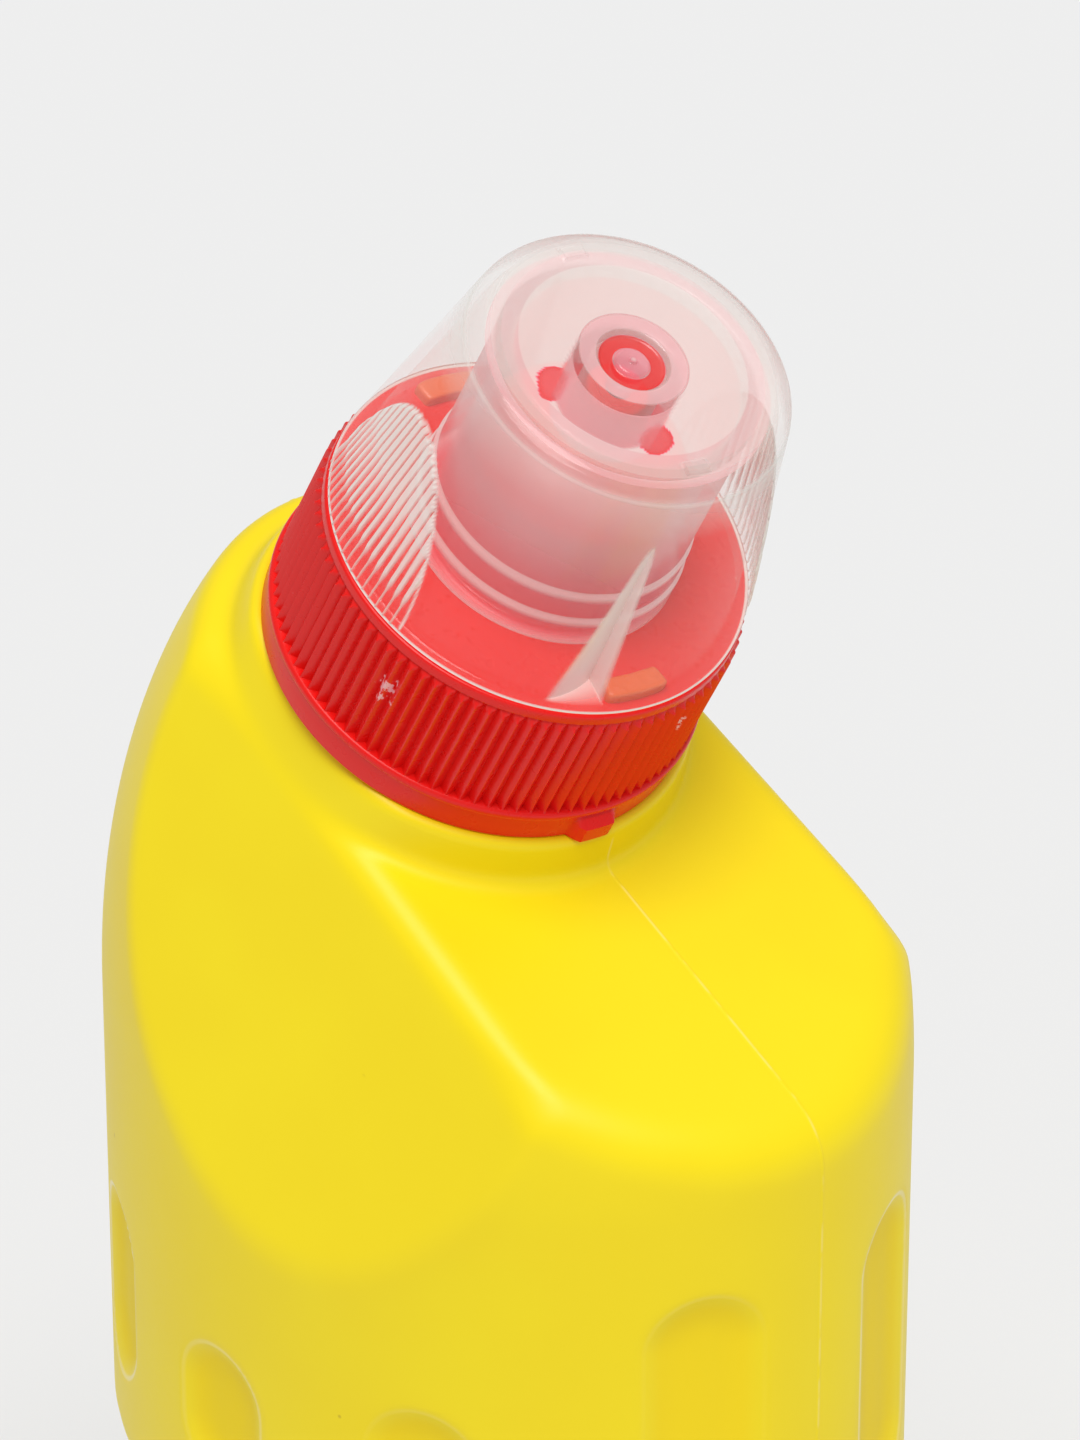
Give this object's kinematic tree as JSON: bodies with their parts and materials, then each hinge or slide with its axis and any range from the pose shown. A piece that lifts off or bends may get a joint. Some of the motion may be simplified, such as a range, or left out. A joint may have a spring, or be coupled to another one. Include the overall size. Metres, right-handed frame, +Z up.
{
  "type": "bleach bottle",
  "caption": "Blown plastic cleaner bottle with a tilted neck, finger recesses, a knurled screw collar with a spout, and a clear overcap that lifts off.",
  "frame": {"origin": "centre of the base, on the surface that the bottle stands on", "axes": "+Z up, +X towards the low front edge that the neck leans to, +Y to the left side"},
  "size_m": [0.09, 0.072, 0.2379],
  "materials": {
    "bottle_plastic": "satin",
    "collar_plastic": "gloss",
    "overcap_plastic": "clear"
  },
  "bodies": {
    "body": {"bottle": "bottle_plastic", "nozzle_collar": "collar_plastic"},
    "cap": {"overcap": "overcap_plastic"}
  },
  "joints": [
    {"name": "overcap_lift", "type": "slide", "parent": "body", "child": "cap", "axis": [0.4802, 0, 0.8771], "range_m": [0, 0.05]}
  ]
}
